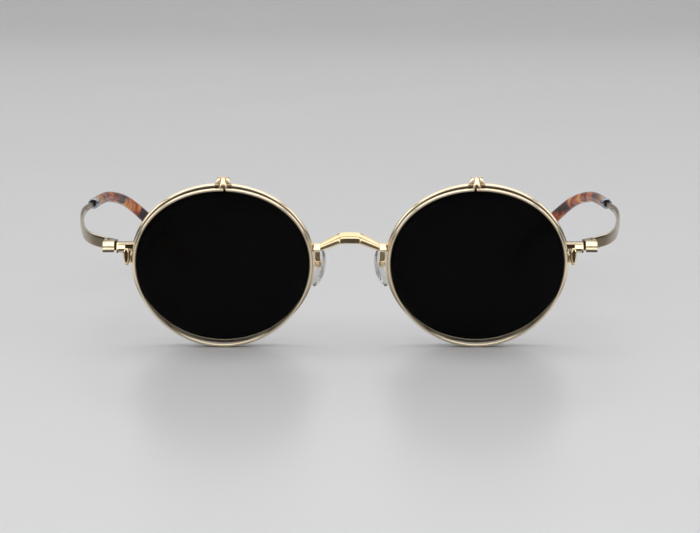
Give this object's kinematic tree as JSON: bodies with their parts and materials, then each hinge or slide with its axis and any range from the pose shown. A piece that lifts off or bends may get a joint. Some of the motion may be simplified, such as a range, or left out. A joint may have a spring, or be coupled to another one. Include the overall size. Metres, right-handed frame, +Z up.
{
  "type": "flip-up sunglasses with folding temples",
  "caption": "Round wire-rim sunglasses: dark lenses, a second pair of dark lenses that flips up from each rim, folding wire temples with tortoise tips, rocking nose pads.",
  "frame": {"origin": "Centre of the footprint of the open glasses, on the plane that the rims' bottoms and the temple tips rest on.", "axes": "+X runs across the face to the wearer's left, the front looks along -Y and the temples reach back along +Y, +Z is up."},
  "size_m": [0.1564, 0.146, 0.0471],
  "materials": {
    "front_gold": "polished pale gold plating, darker in the joints",
    "flip_gold": "polished pale gold plating",
    "temple_gold": "polished pale gold plating",
    "collar_silver": "turned, polished silver-coloured ring",
    "screw": "turned, polished",
    "lens": "polished, near-black tint",
    "flip_lens": "polished, near-black tint",
    "tip": "polished acetate, brown and olive tortoise pattern",
    "pad": "clear soft plastic"
  },
  "bodies": {
    "front": {"bridge": "front_gold", "left_bridge_lug": "front_gold", "left_rim": "front_gold", "left_lens": "lens", "left_endpiece": "front_gold", "left_rim_lock": "front_gold", "left_rim_screw": "screw", "left_hinge_screw": "screw", "left_flip_bracket": "front_gold", "left_flip_pin": "screw", "left_pad_arm": "front_gold", "left_pad_box": "front_gold", "left_pad_screw": "screw", "right_bridge_lug": "front_gold", "right_rim": "front_gold", "right_lens": "lens", "right_endpiece": "front_gold", "right_rim_lock": "front_gold", "right_rim_screw": "screw", "right_hinge_screw": "screw", "right_flip_bracket": "front_gold", "right_flip_pin": "screw", "right_pad_arm": "front_gold", "right_pad_box": "front_gold", "right_pad_screw": "screw"},
    "left_flip": {"left_flip_rim": "flip_gold", "left_flip_lens": "flip_lens", "left_flip_knuckle": "flip_gold"},
    "left_temple": {"left_temple_block": "temple_gold", "left_temple_arm": "temple_gold", "left_tip_collar": "collar_silver", "left_temple_tip": "tip"},
    "left_pad": {"left_nose_pad": "pad"},
    "right_flip": {"right_flip_rim": "flip_gold", "right_flip_lens": "flip_lens", "right_flip_knuckle": "flip_gold"},
    "right_temple": {"right_temple_block": "temple_gold", "right_temple_arm": "temple_gold", "right_tip_collar": "collar_silver", "right_temple_tip": "tip"},
    "right_pad": {"right_nose_pad": "pad"}
  },
  "joints": [
    {"name": "left_temple_fold", "type": "hinge", "parent": "front", "child": "left_temple", "pos_m": [0.06159, -0.06141, 0.02686], "axis": [0, 0, 1], "range_deg": [0, 90]},
    {"name": "right_temple_fold", "type": "hinge", "parent": "front", "child": "right_temple", "pos_m": [-0.06159, -0.06141, 0.02686], "axis": [0, 0, -1], "range_deg": [0, 84]},
    {"name": "left_flip_up", "type": "hinge", "parent": "front", "child": "left_flip", "pos_m": [0.034, -0.07103, 0.04587], "axis": [-1, 0, 0], "range_deg": [0, 95]},
    {"name": "right_flip_up", "type": "hinge", "parent": "front", "child": "right_flip", "pos_m": [-0.034, -0.07103, 0.04587], "axis": [-1, 0, 0], "range_deg": [0, 95]},
    {"name": "left_pad_rock", "type": "hinge", "parent": "front", "child": "left_pad", "pos_m": [0.0092, -0.05805, 0.0214], "axis": [0.2588, 0.954, 0.1511], "range_deg": [-8, 8]},
    {"name": "right_pad_rock", "type": "hinge", "parent": "front", "child": "right_pad", "pos_m": [-0.0092, -0.05805, 0.0214], "axis": [-0.2588, 0.954, 0.1511], "range_deg": [-8, 8]}
  ]
}
